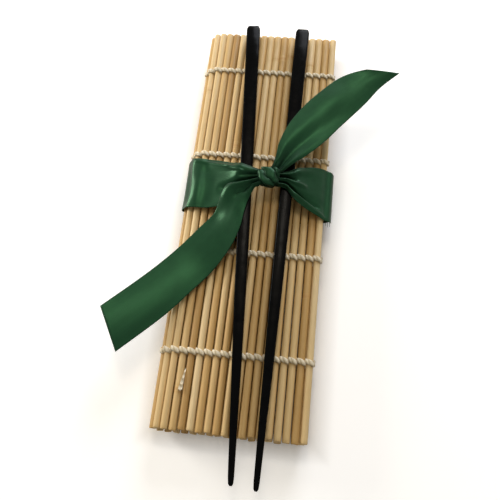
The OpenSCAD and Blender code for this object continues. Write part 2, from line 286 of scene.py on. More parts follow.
# Tones of the visible slats, from the free edge: 0 is brown and 1 is pale. Each slat has its own tone,
# but the left half's slats are also set darker, as painted shade, and the right half's paler, as painted light
top_tones_and_painted_light = [0.64, 0.26, 0.52, 0.58, 0.48, 0.5, 0.38, 0.34, 0.5, 0.54, 0.36, 0.5, 0.4, 0.62, 0.16, 0.42, 0.56]
# Where the mat lies flat its slats are wider than thick and nearly touch, and in the bends they are round
flat_width = 0.97 * pitch / (2 * slat_radius)
flat_thickness = 0.96
# How much wider a slat gets past the far row, and over what length
lean, lean_length = 0.06, 12 * MM
# How much narrower it gets towards the near end, from where, and over what length
taper, taper_from, taper_length = 0.08, 30 * MM, 60 * MM
chance = random.Random(11)


def clamped(value):
    return min(1, max(0, value))


def one_slat(bm, joint_at):
    lying = Matrix.Rotation(math.pi / 2, 4, "X")
    half = slat_length / 2
    verts = bmesh.ops.create_cone(bm, cap_ends=True, segments=slat_sides, radius1=slat_radius,
                                  radius2=slat_radius, depth=slat_length, matrix=lying)["verts"]
    cuts = [0] + [share * side * half for share in half_cuts for side in (-1, 1)]
    cuts += [joint_at + offset * MM for offset in joint_cuts]
    for y in sorted(cuts):
        edges = list({e for v in verts for e in v.link_edges})
        faces = list({f for v in verts for f in v.link_faces})
        found = bmesh.ops.bisect_plane(bm, geom=list(verts) + edges + faces, plane_co=(0, y, 0),
                                       plane_no=(0, 1, 0))
        verts = list(set(verts) | set(verts_of(found["geom_cut"])))
    edges = {e for v in verts for e in v.link_edges}
    rims = [e for e in edges if min(abs(v.co.y) for v in e.verts) > half - 0.001 * MM]
    found = bmesh.ops.bevel(bm, geom=rims, offset=end_bevel, segments=2, profile=0.5, affect="EDGES",
                            material=-1)
    return list({v for v in verts if v.is_valid} | set(found["verts"]))


def slats(node, tones=None, joints=None):
    bm = bmesh.new()
    slat = bm.verts.layers.float_color.new("slat")
    for k, place in enumerate(slats_at[node]):
        joint_at = (joints or {}).get(k, chance.uniform(-80, 80)) * MM
        has_joint = k in joints if joints is not None else chance.random() < 0.4
        verts = one_slat(bm, joint_at)
        tone = tones[k] if tones else chance.uniform(0.25, 0.7)
        phase = chance.uniform(0, 30)
        bow = chance.uniform(-0.05, 0.05) * MM
        wander = chance.uniform(0.3, 2.0)
        # How much shorter it is at its near end, where below 0 is longer, and at its far end
        short = [chance.uniform(-0.9, 0.0) * MM, chance.uniform(0.0, 0.3) * MM]
        thin = chance.uniform(0.97, 1.0)
        outer = k in (0, len(slats_at[node]) - 1)
        thick = 1.0 if "bend" in node else flat_thickness
        skew = chance.uniform(-0.5, 0.5)
        for v in verts:
            x, y, z = v.co
            ring = math.exp(-((y - joint_at) / joint_width) ** 2) if has_joint else 0.0
            grow = thin * (1 + 0.012 * math.sin(y * 60 + phase)) * (1 + 0.05 * ring)
            grow = min(grow, 1.0 if ring < 0.01 else 1.03)
            past = abs(y) - (slat_length / 2 - end_stretch)
            if past > 0 and y < 0:
                y += (short[0] + skew * x * 0.3) * past / end_stretch
            elif past > 0:
                y -= max(short[1] - skew * x * 0.3, 0.0) * past / end_stretch
            wide = flat_width * (1 + lean * clamped((y - max(rows_at)) / lean_length))
            wide *= 1 - taper * clamped((taper_from - y) / taper_length)
            # The slats of a bend are round, and so is the outward side of a layer's last slat
            if "bend" in node or outer and x * (1 if k == 0 else -1) > 0:
                wide = 1.0
            v.co = (x * grow * wide + bow * math.sin(y * 24 * wander + phase), y, z * grow * thick)
            # Its tone, a number that is this slat's own, and how brown the joint of the cane is
            v[slat] = (tone, phase / 30, ring * 0.55, 1)
        bmesh.ops.transform(bm, matrix=place, verts=verts)
    # Only the sawn ends face along the mat and have more than four corners
    for face in bm.faces:
        face.material_index = 1 if abs(face.normal.y) > 0.9 and len(face.verts) > 4 else 0
    print(node, "has", len(bm.verts), "points")
    return piece(bm, node + "_bamboo", node, [bamboo_side, bamboo_end])


slats("top_slats", top_tones_and_painted_light, cane_joints)
for node in [n for n in slats_at if n != "top_slats"]:
    slats(node)

# %% [markdown]
# ## Cotton string
# The rows are twined: two strings run along the mat together, and cross between every two slats, so that
# each slat has one string over it and one under it. The string is soft cotton of two plies, pressed flat
# on the slats. A full twist of a ply takes 2.2 mm. The ply and the loose fibres are in the material,
# which reads how far round the string a point is, and how far along it.

# %% Cotton material
ply_turn = 2.2 * MM


def cotton(name, light, painted_groove_shade):
    material = new_material(name)
    strand = add(material, "Attribute", {"attribute_name": "strand"})["Vector"]
    parts = add(material, "SeparateXYZ", (), {"Vector": strand})
    angle = calc(material, "ARCTAN2", {0: parts["Y"], 1: parts["X"]})
    along = calc(material, "MULTIPLY", {0: parts["Z"]}, math.tau / ply_turn)
    twist = calc(material, "MULTIPLY_ADD", {0: angle, 2: along}, 2.0)
    ply = calc(material, "SINE", {0: twist})
    place = add(material, "TexCoord")["Object"]
    fuzz = add(material, "TexNoise", {"Scale": 3200.0, "Detail": 3.0}, {"Vector": place})["Fac"]
    height = calc(material, "MULTIPLY_ADD", {0: fuzz, 2: ply}, 0.6)
    shade = add(material, "MapRange", {"From Min": -1.0, "From Max": 1.3}, {"Value": height})["Result"]
    # Painted shade: where the ply dips, between the plies, the tone goes towards the darker colour, and the fuzz
    # varies it at random
    tones = [(0.0, painted_groove_shade), (0.55, light), (1.0, light)]
    base = add(material, "ValToRGB", {"stops": tones}, {"Fac": shade})["Color"]
    bump = add(material, "Bump", {"Strength": 0.8, "Distance": 0.16 * MM}, {"Height": height})["Normal"]
    surface(material, {"Roughness": 0.9, "Specular IOR Level": 0.2, "Sheen Weight": 0.35,
                       "Sheen Roughness": 0.5}, {"Base Color": base, "Normal": bump})
    return material


# Unbleached cotton, twisted: off-white, with warm painted shade in the grooves between the plies
cotton_string = cotton("Cotton string, two-ply", "#e4d9c0", "#b3a27e")
print("one turn of the ply is", ply_turn / MM, "mm")

# %% [markdown]
# ## Stitches
# A stitch is half a turn of string round a slat. It starts in the gap before the slat, rises, lies
# slanted across the slat and dives into the next gap. A ring is extruded and moved from station to
# station along that path, wide and flat on the slat and narrow in the gap. Turned half a turn about the
# mat's own direction, the same stitch is the one below. Where a row crosses a joint between two bodies,
# each side ends in a round bead on the joint's axis, so the row stays whole when the mat unrolls.

# %% Stitches
stitch_steps = 8
stitch_sides = 8
stitch_rise = 0.4 * MM
# Length of string in one stitch, which is an arc over a slat
stitch_length = 1.6 * pitch
slant = 0.8 * MM
overlap = 0.2 * MM
wide_flat, wide_gap = 1.18 * MM, 0.86 * MM
thick_flat, thick_gap = 0.44 * MM, 0.4 * MM


def stitch_ring(s):
    """Where the ring of string is at s, from 0 in one gap to 1 in the next, and how it is turned."""
    angle = math.pi * (1 - s)
    out = Vector((math.cos(angle), 0, abs(math.sin(angle))))
    reach = slat_radius + stitch_rise
    at = Vector((out.x * (pitch / 2 + overlap), slant * math.cos(math.pi * s), out.z ** 0.8 * reach))
    ahead = Vector((math.sin(angle) * pitch / 2, -slant * math.sin(math.pi * s), -math.cos(angle) * reach))
    ahead.normalize()
    flat = math.sin(math.pi * s) ** 0.8 if 0 < s < 1 else 0.0
    across = ahead.cross(out).normalized()
    up = across.cross(ahead).normalized()
    wide = wide_gap + (wide_flat - wide_gap) * flat
    thick = thick_gap + (thick_flat - thick_gap) * flat
    turn = Matrix((across * wide, up * thick, ahead)).transposed().to_4x4()
    return Matrix.Translation(at) @ turn


def extruded(bm, edges):
    found = bmesh.ops.extrude_edge_only(bm, edges=edges)["geom"]
    ring = verts_of(found)
    new_edges = [g for g in found if isinstance(g, bmesh.types.BMEdge) and all(v in ring for v in g.verts)]
    return ring, new_edges


def one_stitch(bm, place, strand):
    ring = bmesh.ops.create_circle(bm, segments=stitch_sides, radius=1.0)["verts"]
    here = Matrix.Identity(4)
    made = list(ring)
    edges = [e for e in bm.edges if e.verts[0] in ring and e.verts[1] in ring]
    for i in range(stitch_steps + 1):
        s = i / stitch_steps
        if i:
            ring, edges = extruded(bm, edges)
            made += ring
        next_here = stitch_ring(s)
        bmesh.ops.transform(bm, matrix=next_here @ here.inverted(), verts=ring)
        here = next_here
        for v in ring:
            local = here.inverted() @ v.co
            v[strand] = (local.x, local.y, s * stitch_length)
    bmesh.ops.transform(bm, matrix=place, verts=made)
    return made


def bead(bm, at, strand):
    made = bmesh.ops.create_uvsphere(bm, u_segments=8, v_segments=6, radius=1.0)["verts"]
    for v in made:
        v[strand] = (v.co.x, v.co.z, v.co.y * 0.5 * MM)
    size = Matrix.Diagonal((thick_gap, wide_gap, thick_gap, 1))
    bmesh.ops.transform(bm, matrix=Matrix.Translation(at) @ size, verts=made)


def string_row(node, places, ys):
    bm = bmesh.new()
    strand = bm.verts.layers.float_vector.new("strand")
    below = Matrix.Rotation(math.pi, 4, "X")
    for y in ys:
        for place in places:
            for side in (Matrix.Identity(4), below):
                one_stitch(bm, place @ Matrix.Translation((0, y, 0)) @ side, strand)
        # The two ends of a row are the sides of its first and last slat that lie farthest apart
        first = [places[0] @ Vector((side * pitch / 2, 0, 0)) for side in (1, -1)]
        last = [places[-1] @ Vector((side * pitch / 2, 0, 0)) for side in (-1, 1)]
        ends = max(zip(first, last), key=lambda pair: (pair[1] - pair[0]).length)
        for end in ends:
            for turn in (-1, 1):
                bead(bm, Vector((end.x, y + turn * slant, end.z)), strand)
    bmesh.ops.remove_doubles(bm, verts=bm.verts, dist=0.02 * MM)
    bmesh.ops.recalc_face_normals(bm, faces=bm.faces)
    print(node, "has", len(bm.faces), "faces")
    return piece(bm, node + "_cotton", node, [cotton_string])


for layer in ("top", "bottom", "inner"):
    for k, y in enumerate(rows_at):
        string_row("%s_string_%d" % (layer, k + 1), slats_at[layer + "_slats"], [y])
for side, count in (("left", 4), ("right", 2)):
    for k in range(1, count + 1):
        string_row("%s_bend_stitches_%d" % (side, k), slats_at["%s_bend_slat_%d" % (side, k)], rows_at)

# %% [markdown]
# ## Lacquer and chopsticks
# The sticks are hardwood under several coats of black lacquer, square and tapered, with every edge
# softened by sanding. The lacquer reflects little and is not a mirror: it has a soft gloss, faint brush
# marks along the stick and shallow hollows all over it. A bar with bevelled edges is made at a side of
# one, and each ring of it is then scaled to the stick's side there, so the bevel shrinks with the taper.

# %% Lacquer material
lacquer_gloss = (0.13, 0.21)
lacquer = new_material("Black lacquer on hardwood")
place = add(lacquer, "TexCoord")["Object"]
brushed = add(lacquer, "VectorMath", {"operation": "MULTIPLY", 1: (2600, 60, 2600)}, {0: place})["Vector"]
marks = add(lacquer, "TexNoise", {"Scale": 1.0, "Detail": 2.0}, {"Vector": brushed})["Fac"]
hollows = add(lacquer, "TexNoise", {"Scale": 150.0, "Detail": 1.0}, {"Vector": place})["Fac"]
height = calc(lacquer, "MULTIPLY_ADD", {0: marks, 2: hollows}, 0.12)
rough_range = {"To Min": lacquer_gloss[0], "To Max": lacquer_gloss[1]}
gloss = add(lacquer, "MapRange", rough_range, {"Value": hollows})["Result"]
tint = add(lacquer, "ValToRGB", {"stops": [(0.3, "#020202"), (0.75, "#050505")]}, {"Fac": hollows})["Color"]
bump = add(lacquer, "Bump", {"Strength": 0.3, "Distance": 0.6 * MM}, {"Height": height})["Normal"]
surface(lacquer, {"IOR": 1.5, "Specular IOR Level": 0.03},
        {"Base Color": tint, "Roughness": gloss, "Normal": bump})
print("lacquer roughness runs from", lacquer_gloss[0], "to", lacquer_gloss[1])

# %% Chopsticks
# In mm: how far from the thick end, and the side of the square there. The taper gets steeper at 150.
stick_sides = [(0, 7.2), (150, 5.2), (230, 2.4)]
stick_length = stick_sides[-1][0]
# Both ends are rounded over their last stretch, down to a part of the side
butt_round, butt_part = 2.6, 0.7
tip_round, tip_part = 1.6, 0.45
# Where the bar is cut across, as parts of its length, and its bevel, as a part of its side
bar_cuts = [0.0015, 0.004, 0.007, 0.0114, 0.1, 0.2, 0.35, 0.5, stick_sides[1][0] / stick_length,
            0.75, 0.85, 0.93, 0.985, 0.996]
edge_bevel = 0.14
turns = {"left": math.radians(3.7), "right": math.radians(-0.3)}


def side_at(s):
    for (s0, w0), (s1, w1) in zip(stick_sides, stick_sides[1:]):
        if s <= s1:
            return w0 + (w1 - w0) * (s - s0) / (s1 - s0)
    return stick_sides[-1][1]


def rounding(away, length, part):
    """What is left of the side at a distance from an end, from part at the end itself to 1."""
    return min(1.0, part + (1 - part) * math.sqrt(clamped(away / length)))


def chopstick(side):
    node = "chopstick_" + side
    low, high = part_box(node)
    far = [v.co for v in frame["nodes"][node].data.vertices if v.co.y > high.y - 1.5 * MM]
    end_x = (min(v.x for v in far) + max(v.x for v in far)) / 2
    bm = bmesh.new()
    bmesh.ops.create_cube(bm, size=1.0, matrix=Matrix.Translation((0, -0.5, 0.5)))
    long_edges = [e for e in bm.edges if abs((e.verts[0].co - e.verts[1].co).y) > 0.5]
    bmesh.ops.bevel(bm, geom=long_edges, offset=edge_bevel, segments=3, profile=0.5, affect="EDGES",
                    material=-1)
    for s in bar_cuts:
        bmesh.ops.bisect_plane(bm, geom=bm.verts[:] + bm.edges[:] + bm.faces[:], plane_co=(0, -s, 0),
                               plane_no=(0, 1, 0))
    for v in bm.verts:
        s = -v.co.y * stick_length
        w = side_at(s)
        close = rounding(s, butt_round, butt_part) * rounding(stick_length - s, tip_round, tip_part)
        v.co = (v.co.x * w * close * MM, -s * MM, (0.5 + (v.co.z - 0.5) * close) * w * MM)
    bmesh.ops.recalc_face_normals(bm, faces=bm.faces)
    place = Matrix.Translation((end_x, high.y, low.z)) @ Matrix.Rotation(turns[side], 4, "Z")
    bmesh.ops.transform(bm, verts=bm.verts, matrix=place)
    made = piece(bm, node + "_lacquered", node, [lacquer])
    made.data.set_sharp_from_angle(angle=math.radians(40))
    return made


for side in ("left", "right"):
    print(side, "chopstick:", [round(v / MM, 1) for v in chopstick(side).dimensions])

# %% [markdown]
# ## Satin
# Satin floats its warp over many wefts, so it shines along the ribbon and the highlight is drawn out
# across it. Polyester satin is dyed through, which tints its highlight. The threads are about 0.1 mm
# apart, too fine for the picture, so they are drawn 0.45 mm apart. The pattern reads the ribbon's own UV
# map, in millimetres. By the knot the cloth is gathered into folds finer than the mesh, which shade each
# other. An attribute paints that shade in: a darker base colour and less specular light near the knot.

# %% Satin material
thread_step = 0.45
# How much specular light open cloth gives and how much it keeps under the painted shade by the knot, and how far
# the painted shade moves the tone to the dark
shine_open, shine_in_painted_fold_shade = 0.33, 0.08
painted_shade_strength = 0.7


def satin(name, deep, light):
    material = new_material(name)
    uv = add(material, "UVMap", {"uv_map": "ribbon"})["UV"]
    parts = add(material, "SeparateXYZ", (), {"Vector": uv})
    waves = calc(material, "MULTIPLY", {0: parts["Y"]}, math.tau / thread_step)
    wefts = calc(material, "SINE", {0: waves})
    stretched = add(material, "VectorMath", {"operation": "MULTIPLY", 1: (1.6, 0.12, 1)}, {0: uv})["Vector"]
    slub_noise = {"Scale": 1.0, "Detail": 4.0, "Roughness": 0.65}
    slubs = add(material, "TexNoise", slub_noise, {"Vector": stretched})["Fac"]
    cloudy = add(material, "TexNoise", {"Scale": 0.16, "Detail": 2.0}, {"Vector": uv})["Fac"]
    mixed = calc(material, "MULTIPLY_ADD", {0: slubs, 2: cloudy}, 0.5)
    gathered = add(material, "Attribute", {"attribute_name": "gathered"})["Fac"]
    # Painted shade: near the knot the tone is pulled towards the darkest stop
    with_painted_fold_shade = calc(material, "MULTIPLY_ADD", {0: gathered, 2: mixed}, -painted_shade_strength)
    tones = [(0.0, "#030905"), (0.4, deep), (1.0, light)]
    base = add(material, "ValToRGB", {"stops": tones}, {"Fac": with_painted_fold_shade})["Color"]
    weave = calc(material, "MULTIPLY_ADD", {0: wefts, 2: slubs}, 0.25)
    bump = add(material, "Bump", {"Strength": 0.12, "Distance": 0.1 * MM}, {"Height": weave})["Normal"]
    rough = add(material, "MapRange", {"To Min": 0.27, "To Max": 0.37}, {"Value": slubs})["Result"]
    tangent = add(material, "Tangent", {"direction_type": "UV_MAP", "uv_map": "ribbon"})["Tangent"]
    # The painted shade also lowers the specular light near the knot
    shine_range = {"To Min": shine_open, "To Max": shine_in_painted_fold_shade}
    shine = add(material, "MapRange", shine_range, {"Value": gathered})["Result"]
    surface(material, {"IOR": 1.5, "Anisotropic": 0.4, "Specular Tint": "#96ffb4",
                       "Sheen Weight": 0.02, "Sheen Roughness": 0.4, "Sheen Tint": "#6fa585"},
            {"Base Color": base, "Normal": bump, "Roughness": rough, "Tangent": tangent,
             "Specular IOR Level": shine})
    return material


# Bottle-green polyester satin
green_satin = satin("Polyester satin, bottle green", "#102618", "#183521")
print("weft threads are drawn", thread_step, "mm apart")

# %% [markdown]
# ## Ribbon
# Cloth simulation would find a shape for the ribbon, but not the one in the photograph, so each stretch
# of ribbon is laid as a sheet: a few stations along it give its two edges and the heights of its
# folds across the width, in millimetres, and smooth curves run through them. Sharper creases are added
# by themselves. A flat grid is then bent on to those curves, relaxed a little, marked with painted shade
# that is deepest by the knot, and given its thickness by a modifier.

# %% Sheets through stations
ribbon_width = 25 * MM
ribbon_thickness = 0.26 * MM
knot_centre = sum(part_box("ribbon_knot"), Vector()) / 2
# Distance from the middle of the knot at which the painted shade has fallen to about a third
painted_fold_shade_reach = 14 * MM


def through(values, t):
    """The value at t, from 0 to 1, on a smooth curve through a list of equal steps."""
    last = len(values) - 1
    i = min(int(t * last), last - 1)
    t = t * last - i
    a, b, c, d = (values[min(max(i + k, 0), last)] for k in (-1, 0, 1, 2))
    return (b * 2 + (c - a) * t + (a * 2 - b * 5 + c * 4 - d) * t * t + (b * 3 - a - c * 3 + d) * t ** 3) / 2


def crease_height(creases, u, v):
    """How far the creases lift the sheet at u across and v along it, in millimetres."""
    height = 0
    for (v0, u0), (v1, u1), wide, lift in creases:
        t = (v - v0) / (v1 - v0)
        if 0 < t < 1:
            off = (u - u0 - (u1 - u0) * t) / wide
            height += lift * min(1, 3 * math.sin(math.pi * t)) * math.exp(-off * off)
    return height


def ribbon_sheet(name, node, stations, rows, columns, relax=2, creases=()):
    """One stretch of ribbon through its stations, as a grid of rows along it and columns across it."""
    near = [Vector(s[0]) for s in stations]
    far = [Vector(s[1]) for s in stations]
    folds = [Vector(s[2]) for s in stations]

    def on_sheet(u, v):
        a, b, heights = through(near, v), through(far, v), through(folds, v)
        before, after = max(v - 0.01, 0), min(v + 0.01, 1)
        ahead = through(near, after) + through(far, after) - through(near, before) - through(far, before)
        up = ahead.cross(b - a).normalized()
        return (a + (b - a) * u + up * (through(list(heights), u) + crease_height(creases, u, v))) * MM

    bm = bmesh.new()
    uv = bm.loops.layers.uv.new("ribbon")
    gathered = bm.verts.layers.float.new("gathered")
    bmesh.ops.create_grid(bm, x_segments=columns, y_segments=rows, size=0.5)
    flat = {v: (v.co.x + 0.5, v.co.y + 0.5) for v in bm.verts}
    middle = [on_sheet(0.5, i / rows) for i in range(rows + 1)]
    length = sum((b - a).length for a, b in zip(middle, middle[1:]))
    for face in bm.faces:
        for loop in face.loops:
            u, v = flat[loop.vert]
            loop[uv].uv = (u * ribbon_width / MM, v * length / MM)
    for v, (u, w) in flat.items():
        v.co = on_sheet(u, w)
    for step in range(relax):
        inner = [v for v in bm.verts if not v.is_boundary]
        bmesh.ops.smooth_vert(bm, verts=inner, factor=0.4, use_axis_x=True, use_axis_y=True,
                              use_axis_z=True)
    # Painted shade by the knot: the nearer a point is to the knot, the darker and duller its satin
    for v in bm.verts:
        v[gathered] = math.exp(-((v.co - knot_centre).length / painted_fold_shade_reach) ** 2)
    made = piece(bm, name, node, [green_satin])
    thicken = made.modifiers.new("thickness", "SOLIDIFY")
    thicken.thickness = ribbon_thickness
    thicken.offset = 0
    return made


# %% [markdown]
# ## The loop round the mat
# The loop leaves the knot on the left, goes over the left chopstick and down to the mat, round the left
# bend, under the mat, up past the free edge and back over the right chopstick. At the knot it is gathered
# to under half its width, so its folds fan out from there and die away towards the edges of the mat.
# Folds are listed from the near edge of the ribbon to the far one, and stand outwards from the mat.

# %% The loop
# In mm: the sides of the mat, the knot, the heights that the ribbon passes at, its own near and far edge,
# and how far out it goes at the sides
mat_left = min(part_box(n)[0].x for n in slats_at) / MM
mat_right = max(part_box(n)[1].x for n in slats_at) / MM
knot_low, knot_high = (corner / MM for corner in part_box("ribbon_knot"))
knot_mid = (knot_low + knot_high) / 2
stick_top = knot_mid.z - 1.2
on_mat = slat_high.z / MM + 0.4
under_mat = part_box("ribbon_band")[0].z / MM + 0.17
mid_z = (on_mat + under_mat) / 2
low_y, high_y = -1.9, 23.1
out_left = mat_left - 1.3
out_right = mat_right + 3.5


def hoop(x, z, low=low_y, high=high_y, *folds):
    """A station of the loop, with its edges at low and high along the mat, and its folds from low to high."""
    heights = list(folds) + [0] * (9 - len(folds))
    return ((x, high, z), (x, low, z), heights[::-1])


# From the knot down over the left chopstick, pulled straight to the edge of the mat
loop_stations = [
    hoop(knot_low.x + 1.0, knot_mid.z - 0.4, 8.6, 17.4, 0, 0.9, 0.4, 1.0, 0.0, 0.9, 0.5, 1.0, 0),
    hoop(-2.6, stick_top + 1.1, 7.1, 18.4, 0, 0.9, 0.8, 0.4, -0.1, 0.5, 1.1, 1.1, 0.2),
    hoop(-5.6, stick_top + 1.1, 5.1, 19.3, 0, 0.9, 0.7, 0.1, 0.0, 0.7, 1.1, 1.3, 0.2),
    hoop(-8.8, stick_top + 0.8, 3.5, 20.3, 0, 0.8, 0.3, 0.0, 0.3, 0.9, 1.1, 1.5, 0.2),
    hoop(-12.4, stick_top - 1.2, 1.0, 21.2, 0, 0.5, 0.1, 0.2, 0.6, 0.8, 0.9, 1.5, 0.1),
    hoop(-16.6, stick_top - 2.8, -1.4, 22.4, 0, 0.2, 0.1, 0.2, 0.3, 0.4, 0.5, 1.2, 0),
    hoop(-21.6, stick_top - 4.5, -2.1, 23.7, 0, 0, 0, 0, 0, 0.1, 0.2, 0.8, 0),
    hoop(-25.4, stick_top - 5.6, -2.0, 24.4, 0, 0.3, 0.5, 0.6, 0.5, 0.4, 0.2, 0.5, 0),
    hoop(-29.2, on_mat + 1.5, -2.0, 24.8, 0, 0.5, 0.8, 0.9, 0.8, 0.5, 0.2, 0.2, 0),
    hoop(-32.8, on_mat + 0.5, -1.9, 25.0, 0, 0, -0.1, -0.1, -0.1, 0, 0, 0, 0),
    hoop(out_left + 2.4, left[0].z / MM + 1.0, -1.8, 25.1, 0, -0.7, -1.2, -1.3, -1.1, -0.8, -0.4, -0.1, 0),
    hoop(out_left + 0.5, left[0].z / MM - 2.4, -1.6, 24.4, 0, -0.2, -0.4, -0.5, -0.4, -0.3, -0.2, -0.1, 0),
    hoop(out_left, mid_z, -0.6, 24),
    hoop(out_left + 0.5, left[4].z / MM + 2.2, 0.2, 23.4),
    hoop(out_left + 2.3, left[4].z / MM - 0.9),
    hoop(-30, under_mat),
    hoop(-15, under_mat),
    hoop(0, under_mat, -0.8, 24.2),
    hoop(15, under_mat, 0.6, 25.6),
    hoop(30, under_mat, 1.8, 26.8),
    # Up past the free edge, leaning over so that its near edge makes a corner there
    hoop(out_right - 2.4, left[4].z / MM - 0.9, 2.2, 26.6),
    hoop(out_right - 0.4, left[4].z / MM + 2.4, 1.4, 25.6),
    hoop(out_right, mid_z, -0.6, 24.2),
    hoop(out_right, left[0].z / MM - 1.4, -2.6, 23),
    hoop(out_right - 1.2, left[0].z / MM + 0.9, -2.9, 23.4),
    hoop(out_right - 3.6, stick_top - 7.6, -2.7, 24, 0, 0.1, 0, 0, 0, 0, 0, 0, 0),
    hoop(30.7, stick_top - 5.6, -1.9, 23.9, 0, 0.5, -0.2, 0, 0, 0, 0, 0, 0),
    hoop(26.6, stick_top - 3.4, -0.6, 23.1, 0, 1.1, -0.3, 0.1, 0.1, 0, 0, 0.2, 0),
    hoop(22.8, stick_top - 1.6, 1.0, 21.7, 0, 1.4, -0.3, 0.3, 0.3, 0.1, 0, 0.5, 0),
    hoop(19.4, stick_top + 0.1, 3.0, 20.3, 0, 1.6, 0.1, 0.4, 0.6, 0.2, 0.2, 0.9, 0),
    hoop(16.6, stick_top + 0.3, 6.0, 18.8, 0, 1.5, 0.1, 0.6, 0.8, 0.2, 0.5, 1.2, 0),
    hoop(14.0, stick_top + 0.5, 8.6, 17.6, 0, 1.3, 0.2, 0.9, 0.7, 0.2, 0.8, 1.1, 0),
    hoop(knot_high.x - 1.0, knot_mid.z - 0.4, 9.2, 16.8, 0, 1.1, 0.2, 1.0, 0.4, 0.3, 1.0, 0.8, 0)]
# Each crease runs from (along, across) to (along, across), 0 to 1, then its width across and its height
loop_creases = [
    ((0.29, 0.05), (0.13, 0.12), 0.03, 0.6), ((0.15, 0.1), (0.07, 0.3), 0.035, 0.6),
    ((-0.03, 0.52), (0.17, 0.62), 0.09, -1.5), ((-0.03, 0.3), (0.1, 0.4), 0.06, -0.8),
    ((0.755, 0.97), (1.03, 0.86), 0.045, 0.7), ((0.8, 0.85), (1.03, 0.66), 0.05, -1.6),
    ((0.86, 0.5), (1.03, 0.5), 0.05, 0.9), ((0.9, 0.38), (1.03, 0.4), 0.05, -0.9),
    ((0.91, 0.2), (1.03, 0.26), 0.06, 0.9), ((0.92, 0.1), (1.03, 0.12), 0.05, -0.8)]
loop_piece = ribbon_sheet("ribbon_loop", "ribbon_band", loop_stations, 260, 60, creases=loop_creases)

# %% [markdown]
# ## The two tails
# The left tail leaves the knot towards the lower left, gathered, opens out over the left chopstick and
# lies across the mat until its cut end stands a little proud past the edge. The right tail leaves it
# towards the upper right, stands up off the sticks, and has a long hollow crease down its middle.

# %% The tails
# Each station is a point of one edge, the point of the other edge across from it, and the folds between.
# Places are counted from the knot, and heights from the top of the sticks, s, or of the mat, t.
s, t, x, y = stick_top, on_mat + 0.8, knot_mid.x, knot_mid.y
left_tail = [
    ((x - 4.1, y - 1.0, s + 2.8), (x - 3.0, y - 4.4, s + 2.4), (0, 0.6, 0.7, 0.2, 0.1, 0.5, 0.7, 0.4, 0)),
    ((x - 8.6, y - 2.4, s + 2.2), (x - 5.8, y - 6.2, s + 2.0), (0, 1.2, 1.0, 0.3, -0.2, 0.6, 0.9, 0.4, 0)),
    ((x - 14.2, y - 4.0, s + 2.2), (x - 7.2, y - 9.2, s + 1.5), (0, 1.5, 1.4, 0.9, 0.0, -0.7, 0.6, 0.7, 0)),
    ((x - 19.2, y - 5.2, s + 1.2), (x - 8.6, y - 12.9, s + 0.8), (0, 1.2, 1.0, 0.5, -0.2, 0.1, 0.4, 0.4, 0)),
    ((x - 21.8, y - 9.8, s - 0.4), (x - 9.8, y - 18.9, s + 0.3), (0, 0.7, 0.5, 0.2, 0.1, 0.3, 0.3, 0.2, 0)),
    ((x - 24.2, y - 18.0, t + 2.2), (x - 11, y - 26.4, s - 0.6), (0, -0.2, 0.0, 0.3, 0.4, 0.4, 0.3, 0.2, 0)),
    ((x - 30.6, y - 26.0, t + 0.8), (x - 14.4, y - 35.4, t + 3.2), (0, 0.1, 0.3, 0.5, 0.5, 0.4, 0.2, 0.1, 0)),
    ((x - 39.2, y - 37.0, t + 0.4), (x - 21.4, y - 46.8, t + 0.5), (0, 0.2, 0.4, 0.5, 0.5, 0.5, 0.4, 0.2, 0)),
    ((x - 48.0, y - 47.4, t + 1.4), (x - 30.4, y - 58.2, t + 0.6), (0, 0.3, 0.6, 0.8, 0.9, 0.8, 0.6, 0.3, 0)),
    ((x - 57.4, y - 57.6, t + 3), (x - 41.2, y - 71.4, t + 1.6), (0, 0.4, 0.8, 1.0, 1.1, 1.0, 0.8, 0.4, 0)),
    ((x - 68.9, y - 70.0, t + 6), (x - 58.7, y - 89.4, t + 4), (0, 0.4, 0.8, 1.0, 1.1, 1.0, 0.8, 0.4, 0))]
right_tail = [
    ((x + 4.0, y + 1.2, s + 2.6), (x - 0.4, y + 3.0, s + 3.0), (0, 0.4, 0.2, 0.1, 0.4, 0.3, 0.5, 0.4, 0)),
    ((x + 7.0, y + 3.6, s + 2.2), (x + 1.5, y + 6.6, s + 2.6), (0, 0.8, 0.3, -0.7, -0.3, 0.6, 0.3, 0.7, 0)),
    ((x + 11.2, y + 7.6, s + 2.4), (x + 2.6, y + 12, s + 3), (0, 1.0, 0.3, -1.1, -1.3, -0.3, 0.5, 0.4, 0)),
    ((x + 17.0, y + 12.4, s + 2.8), (x + 3.6, y + 19, s + 3.4), (0, 0.4, -0.2, -1.0, -1.1, 0.0, 0.6, 0.4, 0)),
    ((x + 25.0, y + 20.2, s + 3.2), (x + 7.4, y + 29, s + 4), (0, 0.1, -0.2, -0.4, 0.1, 0.7, 0.7, 0.3, 0)),
    ((x + 32.4, y + 29.4, s + 3.6), (x + 14, y + 39.6, s + 4.4), (0, 0.1, 0.2, 0.6, 1.0, 1.1, 0.8, 0.3, 0)),
    ((x + 38, y + 36, s + 4), (x + 21, y + 47.6, s + 5), (0, 0.3, 0.7, 1.1, 1.5, 1.6, 1.3, 0.7, 0)),
    ((x + 44, y + 43, s + 5), (x + 29, y + 55, s + 6), (0, 0.4, 0.8, 1.1, 1.2, 1.1, 0.9, 0.5, 0)),
    ((x + 50.6, y + 51.6, s + 6.4), (x + 36, y + 58.4, s + 7.4), (0, 0.3, 0.6, 0.8, 0.8, 0.8, 0.6, 0.3, 0)),
    ((x + 59.4, y + 59.6, s + 8), (x + 43, y + 60, s + 9), (0, 0.2, 0.4, 0.4, 0.4, 0.4, 0.4, 0.2, 0))]
left_piece = ribbon_sheet("ribbon_left_tail", "ribbon_tail_left", left_tail, 120, 36, relax=6)
right_piece = ribbon_sheet("ribbon_right_tail", "ribbon_tail_right", right_tail, 110, 36)

